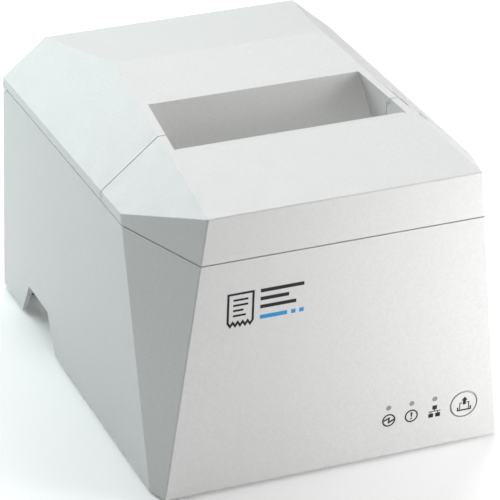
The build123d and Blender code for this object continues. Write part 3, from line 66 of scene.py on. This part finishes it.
class Graph:
    """Small helper around one material's node tree."""

    def __init__(self, name):
        self.mat = bpy.data.materials.new(name)
        self.mat.use_nodes = True
        self.tree = self.mat.node_tree
        self.tree.nodes.clear()
        self.out = self.node("ShaderNodeOutputMaterial")
        self.bsdf = self.node("ShaderNodeBsdfPrincipled")
        self.link(self.bsdf.outputs[0], self.out.inputs[0])
        self.coord = self.node("ShaderNodeTexCoord")
        self.here = self.coord.outputs["Object"]

    def node(self, kind, **settings):
        made = self.tree.nodes.new(kind)
        for key, value in settings.items():
            setattr(made, key, value)
        return made

    def link(self, a, b):
        self.tree.links.new(a, b)

    def put(self, socket, value):
        if isinstance(value, bpy.types.NodeSocket):
            self.link(value, socket)
        else:
            socket.default_value = value

    def noise(self, scale, detail=2.0, rough=0.5, stretch=None, distortion=0.0):
        made = self.node("ShaderNodeTexNoise")
        made.inputs["Scale"].default_value = scale
        made.inputs["Detail"].default_value = detail
        made.inputs["Roughness"].default_value = rough
        made.inputs["Distortion"].default_value = distortion
        if stretch:
            place = self.node("ShaderNodeMapping")
            place.inputs["Scale"].default_value = stretch
            self.link(self.here, place.inputs["Vector"])
            self.link(place.outputs[0], made.inputs["Vector"])
        else:
            self.link(self.here, made.inputs["Vector"])
        return made.outputs["Fac"]

    def cells(self, scale, feature="F1"):
        made = self.node("ShaderNodeTexVoronoi", feature=feature)
        made.inputs["Scale"].default_value = scale
        self.link(self.here, made.inputs["Vector"])
        return made.outputs["Distance"]

    def span(self, fac, low, high, from_low=0.3, from_high=0.7):
        made = self.node("ShaderNodeMapRange")
        made.inputs["From Min"].default_value = from_low
        made.inputs["From Max"].default_value = from_high
        made.inputs["To Min"].default_value = low
        made.inputs["To Max"].default_value = high
        self.link(fac, made.inputs["Value"])
        return made.outputs[0]

    def math(self, operation, a, b=None):
        made = self.node("ShaderNodeMath", operation=operation)
        self.put(made.inputs[0], a)
        if b is not None:
            self.put(made.inputs[1], b)
        return made.outputs[0]

    def mix(self, fac, a, b):
        made = self.node("ShaderNodeMix", data_type="RGBA")
        self.put(made.inputs[0], fac)
        self.put(made.inputs[6], a if isinstance(a, bpy.types.NodeSocket) else (*a, 1.0))
        self.put(made.inputs[7], b if isinstance(b, bpy.types.NodeSocket) else (*b, 1.0))
        return made.outputs[2]

    def bump(self, height, strength, distance, below=None):
        made = self.node("ShaderNodeBump")
        made.inputs["Strength"].default_value = strength
        made.inputs["Distance"].default_value = distance
        self.link(height, made.inputs["Height"])
        if below:
            self.link(below, made.inputs["Normal"])
        return made.outputs[0]

    def finish(self, colour, rough, metallic=0.0, normal=None, **extra):
        if isinstance(colour, bpy.types.NodeSocket):
            self.link(colour, self.bsdf.inputs["Base Color"])
        else:
            self.bsdf.inputs["Base Color"].default_value = (*colour, 1.0)
        self.put(self.bsdf.inputs["Roughness"], rough)
        self.bsdf.inputs["Metallic"].default_value = metallic
        if normal:
            self.link(normal, self.bsdf.inputs["Normal"])
        for key, value in extra.items():
            self.bsdf.inputs[key.replace("_", " ")].default_value = value
        return self.mat


def shade(colour, k):
    return tuple(min(1.0, c * k) for c in colour)


def moulded(name, colour, rough=0.5, grain=0.35, pit=2600.0, tint=0.02, specular=0.4, fleck=0.03):
    """Spark-textured moulding: fine grain over coarser pitting, flow mottling, duller patches."""
    g = Graph(name)
    broad = g.noise(9.0, 3.0, 0.55)
    fine = g.noise(pit, 2.0, 0.6)
    coarse = g.noise(pit * 0.36, 2.0, 0.65)
    cloud = g.noise(140.0, 3.0, 0.6)
    base = g.mix(g.span(broad, 0.0, 1.0), shade(colour, 1.0 - tint), shade(colour, 1.0 + tint))
    pitted = g.mix(g.span(coarse, 0.0, 1.0, 0.36, 0.64), shade(colour, 1.0 - 2 * fleck), base)
    speck = g.mix(g.span(fine, 0.0, 0.35, 0.35, 0.75), pitted, shade(colour, 0.93))
    dull = g.math("ADD", g.span(cloud, rough - 0.04, rough + 0.05), g.span(fine, -0.03, 0.03))
    first = g.bump(coarse, grain * 0.55, 0.00022)
    top = g.bump(fine, grain, 0.00009, first)
    return g.finish(speck, dull, normal=top, Specular_IOR_Level=specular)


def smooth_plastic(name, colour, rough=0.3, tint=0.03):
    g = Graph(name)
    broad = g.noise(60.0, 3.0)
    fine = g.noise(1500.0, 2.0)
    base = g.mix(g.span(broad, 0.0, 1.0), shade(colour, 1.0 - tint), shade(colour, 1.0 + tint))
    dull = g.span(g.noise(300.0, 3.0), rough - 0.05, rough + 0.08)
    return g.finish(base, dull, normal=g.bump(fine, 0.08, 0.00005))


def rubber(name, colour, rough=0.8, pit=1800.0):
    g = Graph(name)
    dust = g.noise(90.0, 5.0, 0.65)
    fine = g.noise(pit, 3.0, 0.7)
    base = g.mix(g.span(dust, 0.0, 0.6, 0.45, 0.8), colour, shade(colour, 2.2))
    dull = g.span(fine, rough - 0.06, rough + 0.08)
    return g.finish(base, dull, normal=g.bump(fine, 0.3, 0.0001))


def ground_rubber(name, colour):
    """Rubber ground round the roller's axis."""
    g = Graph(name)
    turns = g.noise(1.0, 3.0, 0.6, stretch=(2600.0, 60.0, 60.0))
    fine = g.noise(2200.0, 2.0)
    base = g.mix(g.span(turns, 0.0, 1.0), colour, shade(colour, 1.5))
    rings = g.bump(turns, 0.2, 0.00005)
    return g.finish(base, g.span(turns, 0.55, 0.72), normal=g.bump(fine, 0.15, 0.00006, rings))


def metal(name, colour, rough=0.35, grain=(1.0, 1.0, 1.0), scale=400.0, stain=0.08, spangle=0.0):
    """Rolled, ground or plated metal: directional grain and faint patches."""
    g = Graph(name)
    lines = g.noise(1.0, 4.0, 0.6, stretch=tuple(scale * k for k in grain))
    patch = g.noise(45.0, 4.0, 0.6)
    low, high = shade(colour, 1.0 - stain), shade(colour, 1.0 + stain)
    base = g.mix(g.span(patch, 0.0, 1.0), low, high)
    dull = g.math("ADD", g.span(lines, rough - 0.07, rough + 0.07), g.span(patch, -0.04, 0.05))
    if spangle:
        crystals = g.cells(160.0)
        base = g.mix(g.span(crystals, 0.0, spangle, 0.1, 0.8), base, shade(colour, 1.18))
    return g.finish(base, dull, metallic=1.0, normal=g.bump(lines, 0.09, 0.00005))


def board(name, colour):
    """Solder mask over copper: routed tracks show faintly lighter, with pads."""
    g = Graph(name)
    brick = g.node("ShaderNodeTexBrick")
    brick.offset = 0.37
    brick.squash = 1.6
    brick.squash_frequency = 3
    brick.inputs["Scale"].default_value = 260.0
    brick.inputs["Mortar Size"].default_value = 0.018
    brick.inputs["Mortar Smooth"].default_value = 0.2
    brick.inputs["Brick Width"].default_value = 1.4
    brick.inputs["Row Height"].default_value = 0.32
    g.link(g.here, brick.inputs["Vector"])
    dots = g.span(g.cells(230.0), 1.0, 0.0, 0.10, 0.16)
    keep = g.math("MULTIPLY", dots, g.span(g.noise(110.0, 1.0), 0.0, 1.0, 0.5, 0.52))
    routed = g.span(g.noise(60.0, 1.0), 0.0, 1.0, 0.45, 0.5)
    track = g.math("MULTIPLY", brick.outputs["Fac"], routed)
    base = g.mix(track, colour, shade(colour, 1.9))
    base = g.mix(keep, base, (0.62, 0.55, 0.36))
    height = g.math("ADD", track, keep)
    dull = g.span(g.noise(400.0), 0.28, 0.4)
    return g.finish(base, dull, normal=g.bump(height, 0.35, 0.00005), Coat_Weight=0.4)


def components(name, colour):
    """Black moulded parts with patchy roughness and faint mould marks."""
    g = Graph(name)
    fine = g.noise(3000.0, 2.0)
    broad = g.noise(120.0, 2.0)
    base = g.mix(g.span(broad, 0.0, 1.0), colour, shade(colour, 1.6))
    return g.finish(base, g.span(fine, 0.42, 0.6), normal=g.bump(fine, 0.25, 0.00005))


def glazed(name, colour):
    g = Graph(name)
    broad = g.noise(70.0, 2.0)
    streak = g.noise(1.0, 2.0, 0.5, stretch=(40.0, 40.0, 1400.0))
    base = g.mix(g.span(broad, 0.0, 1.0), shade(colour, 0.94), shade(colour, 1.05))
    dull = g.span(streak, 0.12, 0.24)
    return g.finish(base, dull, normal=g.bump(streak, 0.06, 0.00003), Coat_Weight=0.5)


def printed(name, colour):
    """Pad-printed ink: slightly uneven, sits on the grain of the moulding."""
    g = Graph(name)
    fine = g.noise(2600.0, 2.0, 0.6)
    broad = g.noise(500.0, 2.0)
    base = g.mix(g.span(broad, 0.0, 1.0), shade(colour, 0.9), shade(colour, 1.12))
    dull = g.span(fine, 0.38, 0.52)
    return g.finish(base, dull, normal=g.bump(fine, 0.25, 0.00006), Specular_IOR_Level=0.25)


WHITE = (0.665, 0.665, 0.655)
finishes = {
    "case_plastic": moulded("case_plastic", WHITE, 0.5, 0.30),
    "cover_plastic": moulded("cover_plastic", WHITE, 0.5, 0.30),
    "tub_plastic": moulded("tub_plastic", (0.035, 0.037, 0.04), 0.55, 0.5, 1900.0, 0.10),
    "button_plastic": moulded("button_plastic", (0.68, 0.68, 0.67), 0.42, 0.16, 3200.0),
    "foot_rubber": rubber("foot_rubber", (0.02, 0.02, 0.021)),
    "platen_rubber": ground_rubber("platen_rubber", (0.018, 0.018, 0.02)),
    "zinc_sheet": metal(
        "zinc_sheet", (0.60, 0.61, 0.62), 0.36, (1.0, 0.12, 0.12), 900.0, 0.07, 0.35
    ),
    "screw_steel": metal("screw_steel", (0.48, 0.49, 0.50), 0.30, (1.0, 1.0, 1.0), 1200.0, 0.1),
    "shaft_steel": metal("shaft_steel", (0.66, 0.67, 0.68), 0.16, (1.0, 0.05, 0.05), 3000.0, 0.04),
    "blade_steel": metal("blade_steel", (0.56, 0.57, 0.59), 0.24, (0.04, 1.0, 1.0), 2600.0, 0.05),
    "hook_steel": metal("hook_steel", (0.42, 0.43, 0.44), 0.42, (1.0, 1.0, 0.2), 900.0, 0.12),
    "spring_wire": metal("spring_wire", (0.62, 0.62, 0.63), 0.22, (1.0, 1.0, 1.0), 1500.0, 0.06),
    "bush_plastic": smooth_plastic("bush_plastic", (0.70, 0.68, 0.62), 0.4),
    "gear_plastic": smooth_plastic("gear_plastic", (0.82, 0.82, 0.78), 0.36),
    "knob_plastic": moulded("knob_plastic", (0.03, 0.16, 0.42), 0.4, 0.2, 2200.0, 0.05),
    "motor_can": metal("motor_can", (0.40, 0.41, 0.42), 0.34, (1.0, 0.1, 0.1), 1300.0, 0.08),
    "heatsink_alloy": metal(
        "heatsink_alloy", (0.70, 0.71, 0.72), 0.34, (0.05, 1.0, 1.0), 1600.0, 0.05
    ),
    "head_ceramic": glazed("head_ceramic", (0.55, 0.50, 0.36)),
    "board_green": board("board_green", (0.012, 0.115, 0.045)),
    "chip_plastic": components("chip_plastic", (0.02, 0.02, 0.022)),
    "socket_plastic": smooth_plastic("socket_plastic", (0.017, 0.017, 0.019), 0.34, 0.1),
    "socket_shell": metal("socket_shell", (0.64, 0.65, 0.66), 0.26, (1.0, 0.2, 1.0), 1100.0, 0.06),
    "contact_metal": metal(
        "contact_metal", (0.78, 0.58, 0.22), 0.24, (1.0, 0.2, 1.0), 2000.0, 0.06
    ),
    "light_pipe": smooth_plastic("light_pipe", (0.25, 0.255, 0.25), 0.3),
    "flat_cable": smooth_plastic("flat_cable", (0.78, 0.80, 0.82), 0.35),
}

slot_of = {s["node"]: s["material_slot"] for s in record["subparts"]}
for name, thing in nodes.items():
    finish = finishes[slot_of[name]]
    if not thing.material_slots:
        thing.data.materials.append(finish)
    for held in thing.material_slots:
        held.link = "OBJECT"
        held.material = finish


# ------------------------------------------------------------------ springs copied in spring wire onto the chassis

# node, joint that presses it, which end in y stays put (0 front, 1 rear), length left at the limit
for name, joint, still_end, kept in (
    ("button_spring", "button_press", 1, 0.83),
    ("head_springs", "head_tilt", 0, 0.90),
):
    coil = bpy.data.objects.new(name + "_coil", nodes[name].data.copy())
    coil.data.materials.clear()
    coil.data.materials.append(finishes["spring_wire"])
    scene.collection.objects.link(coil)
    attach(coil, "chassis")
    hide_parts(name)
    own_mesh(coil)


# ------------------------------------------------------------------ printed marks on the front

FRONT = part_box("lower_case")[0].y
INK_PROUD = 0.00004
INK_SUNK = 0.00001
dark_ink = printed("ink_dark", (0.014, 0.013, 0.013))
blue_ink = printed("ink_blue", (0.03, 0.26, 0.56))
# painted shade: grey ink used only for the dark line round the feed button's rim
rim_shade_paint = printed("painted_rim_shade", (0.10, 0.10, 0.10))


def print_mark(name, shapes, at, ink, body="chassis", front=None):
    """Thin raised ink from flat shapes, in millimetres about at: outlines, or strokes of quads."""
    y = (FRONT if front is None else front) + INK_SUNK
    mesh = bpy.data.meshes.new(name)
    bm = bmesh.new()

    def vertex(x, z):
        return bm.verts.new(((at[0] + x) * MM, y, (at[1] + z) * MM))

    for shape in shapes:
        if isinstance(shape, dict):
            rows = [[vertex(x, z) for x, z in row] for row in shape["rows"]]
            pairs = list(zip(rows, rows[1:]))
            if shape["closed"]:
                pairs.append((rows[-1], rows[0]))
            faces = [bm.faces.new((a[0], a[1], b[1], b[0])) for a, b in pairs]
        else:
            faces = [bm.faces.new([vertex(x, z) for x, z in shape])]
        grown = bmesh.ops.extrude_face_region(bm, geom=faces)
        moved = [v for v in grown["geom"] if isinstance(v, bmesh.types.BMVert)]
        bmesh.ops.translate(bm, verts=moved, vec=(0, -INK_PROUD - INK_SUNK, 0))
    bmesh.ops.recalc_face_normals(bm, faces=bm.faces)
    bm.to_mesh(mesh)
    bm.free()
    made = bpy.data.objects.new(name, mesh)
    scene.collection.objects.link(made)
    mesh.materials.append(ink)
    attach(made, body)
    return made


SHARPEST_MITRE = 0.35


def stroke(points, width, closed=False):
    """A line of the given width through the points, mitred at its corners."""
    points = [Vector(p) for p in points]
    rows = []
    for k, point in enumerate(points):
        before = points[k - 1] if closed or k else None
        after = points[(k + 1) % len(points)] if closed or k < len(points) - 1 else None
        runs = ((before, point), (point, after))
        ways = [(b - a).normalized() for a, b in runs if a is not None and b is not None]
        sides = [Vector((-w.y, w.x)) for w in ways]
        lean = (sides[0] + sides[-1]).normalized()
        reach = width / 2 / max(SHARPEST_MITRE, lean.dot(sides[0]))
        rows.append((tuple(point + lean * reach), tuple(point - lean * reach)))
    return {"rows": rows, "closed": closed}


def circle(radius, width, steps=64):
    turns = [2 * math.pi * k / steps for k in range(steps)]
    return stroke([(radius * math.cos(t), radius * math.sin(t)) for t in turns], width, closed=True)


def rect(x0, z0, x1, z1):
    return [(x0, z0), (x1, z0), (x1, z1), (x0, z1)]


# status icons below the lights
ICON_Z = 17.3
print_mark(
    "icon_status",
    [
        circle(2.5, 0.6),
        stroke([(-2.2, 0.0), (0.12, 0.98), (0.02, -0.98), (2.2, 0.04)], 0.66),
    ],
    (22.5, ICON_Z),
    dark_ink,
)
print_mark(
    "icon_attention",
    [
        circle(2.5, 0.6),
        [(-0.44, 1.6), (-0.24, -0.45), (0.24, -0.45), (0.44, 1.6)],
        rect(-0.32, -1.55, 0.32, -0.92),
    ],
    (32.1, ICON_Z),
    dark_ink,
)
print_mark(
    "icon_network",
    [
        rect(-0.98, 0.85, 0.98, 2.65),
        rect(-2.5, -2.6, -0.45, -0.85),
        rect(0.45, -2.6, 2.5, -0.85),
        rect(-2.6, -0.14, 2.6, 0.2),
        rect(-1.65, -0.82, -1.27, -0.17),
        rect(1.27, -0.82, 1.65, -0.17),
        rect(-0.19, 0.23, 0.19, 0.82),
    ],
    (42.0, ICON_Z),
    dark_ink,
)
# feed button: a sheet rising from a tray, and a thin grey ring of painted shade at its rim
BUTTON = (54.5, 18.0)
button_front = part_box("feed_button")[0].y
print_mark(
    "icon_button_feed",
    [
        stroke([(-2.75, -0.95), (-2.75, -2.3), (2.75, -2.3), (2.75, -0.95)], 0.6),
        stroke([(-0.95, 0.95), (-1.9, 0.95), (-1.9, -1.85)], 0.42),
        stroke([(0.95, 0.95), (1.9, 0.95), (1.9, -1.85)], 0.42),
        [
            (-0.65, 0.1),
            (0.65, 0.1),
            (0.65, 2.0),
            (1.35, 2.0),
            (0.0, 3.6),
            (-1.35, 2.0),
            (-0.65, 2.0),
        ],
    ],
    (BUTTON[0] + 0.25, BUTTON[1] - 0.3),
    dark_ink,
    body="feed_button",
    front=button_front,
)
# painted shade: a thin grey ring standing in for the shade line at the button's rim
print_mark(
    "painted_shade_ring_on_button",
    [circle(5.42, 0.24, 96)],
    BUTTON,
    rim_shade_paint,
    body="feed_button",
    front=button_front,
)

# generic mark: a torn receipt with print lines beside three bars and a coloured rule
teeth = [(-5.0 + step, -5.4 - 1.5 * (step % 2)) for step in range(0, 11)]
print_lines = ((4.0, 3.0), (1.8, 3.0), (-0.4, 1.2), (-2.6, 2.2))
print_mark(
    "front_mark_receipt",
    [stroke([(-5.0, 6.6)] + teeth + [(5.0, 6.6)], 0.9, closed=True)]
    + [stroke([(-3.0, z), (x1, z)], 0.85) for z, x1 in print_lines],
    (-41.3, 79.4),
    dark_ink,
)
print_mark(
    "front_mark_bars",
    [stroke([(0, z), (long, z)], 1.5) for z, long in ((0, 11.5), (-3.4, 14.5), (3.4, 17.5))],
    (-33.4, 82.2),
    dark_ink,
)
print_mark(
    "front_mark_rule",
    [stroke([(x0, 0), (x1, 0)], 1.7) for x0, x1 in ((0, 11.0), (12.6, 14.4), (15.9, 17.7))],
    (-33.4, 74.4),
    blue_ink,
)


# ------------------------------------------------------------------ floor, light, camera

mesh = bpy.data.meshes.new("floor")
bm = bmesh.new()
bmesh.ops.create_grid(bm, x_segments=8, y_segments=8, size=6.0)
bm.to_mesh(mesh)
bm.free()
floor = bpy.data.objects.new("floor", mesh)
scene.collection.objects.link(floor)
g = Graph("floor_paper")
pale = g.mix(g.span(g.noise(3.0, 2.0), 0.0, 1.0), (0.95, 0.95, 0.95), (0.96, 0.96, 0.96))
g.bsdf.inputs["Emission Color"].default_value = (1.0, 1.0, 1.0, 1.0)
g.bsdf.inputs["Emission Strength"].default_value = 0.06
tooth = g.bump(g.noise(300.0), 0.02, 0.0001)
mesh.materials.append(g.finish(pale, 0.9, normal=tooth, Specular_IOR_Level=0.1))

world = bpy.data.worlds.new("studio")
scene.world = world
world.use_nodes = True
world.node_tree.nodes["Background"].inputs[0].default_value = (1.0, 1.0, 1.0, 1.0)
world.node_tree.nodes["Background"].inputs[1].default_value = 0.012


def softbox(name, place, target, size, power, colour=(1, 1, 1)):
    data = bpy.data.lights.new(name, "AREA")
    data.shape = "RECTANGLE"
    data.size, data.size_y = size
    data.energy = power
    data.color = colour
    made = bpy.data.objects.new(name, data)
    scene.collection.objects.link(made)
    made.location = place
    made.rotation_euler = (Vector(target) - Vector(place)).to_track_quat("-Z", "Y").to_euler()
    made.visible_camera = False
    return made


COOL = (0.86, 0.985, 1.0)
softbox("left_near", (-0.45, 0.35, 0.35), (-0.07, 0.08, 0.08), (0.3, 0.3), 0.50, COOL)
softbox("left_rear_near", (-0.42, 0.62, 0.42), (-0.07, 0.08, 0.09), (0.35, 0.35), 3.3, COOL)
softbox("right_front", (1.0, -1.1, 0.6), (0, 0, 0.06), (0.9, 0.9), 2.6)
softbox("right_low", (0.30, -0.30, 0.10), (0.06, -0.09, 0.04), (0.2, 0.2), 0.88)
softbox("right_close", (0.26, -0.24, 0.16), (0.06, -0.09, 0.06), (0.15, 0.15), 0.38)
softbox("top_near", (-0.12, -0.10, 0.62), (-0.02, -0.02, 0.1), (0.3, 0.3), 1.0)
softbox("top_rear", (0.0, 1.1, 1.2), (0, 0, 0.1), (1.2, 0.8), 9.4)
softbox("top_right_rear", (0.5, 0.8, 1.1), (0, 0, 0.1), (0.6, 0.6), 7.4)

# the photo's camera, fitted to the object's corners
PHOTO_PX = 500.0
SENSOR_MM = 36.0
FOCAL_PX = 3250.0985
CENTRE_PX = (246.5632, 249.1559)
CAMERA_PLACE = (-0.458216, -1.033604, 0.680847)

camera_data = bpy.data.cameras.new("photo_camera")
camera_data.sensor_width = SENSOR_MM
camera_data.lens = FOCAL_PX * SENSOR_MM / PHOTO_PX
camera_data.shift_x = (PHOTO_PX / 2 - CENTRE_PX[0]) / PHOTO_PX
camera_data.shift_y = (CENTRE_PX[1] - PHOTO_PX / 2) / PHOTO_PX
camera_data.clip_start = 0.05
camera_data.clip_end = 50.0
camera = bpy.data.objects.new("photo_camera", camera_data)
scene.collection.objects.link(camera)
right = Vector((0.921018513, -0.388223126, 0.031744340))
up = Vector((0.163697828, 0.459726723, 0.872842690))
backward = Vector((-0.353451440, -0.798707797, 0.486968105))
turn = Matrix((right, up, backward)).transposed().to_4x4()
camera.matrix_world = Matrix.Translation(CAMERA_PLACE) @ turn
scene.camera = camera

scene.view_settings.view_transform = "Standard"
scene.view_settings.look = "None"
scene.view_settings.exposure = 0.0
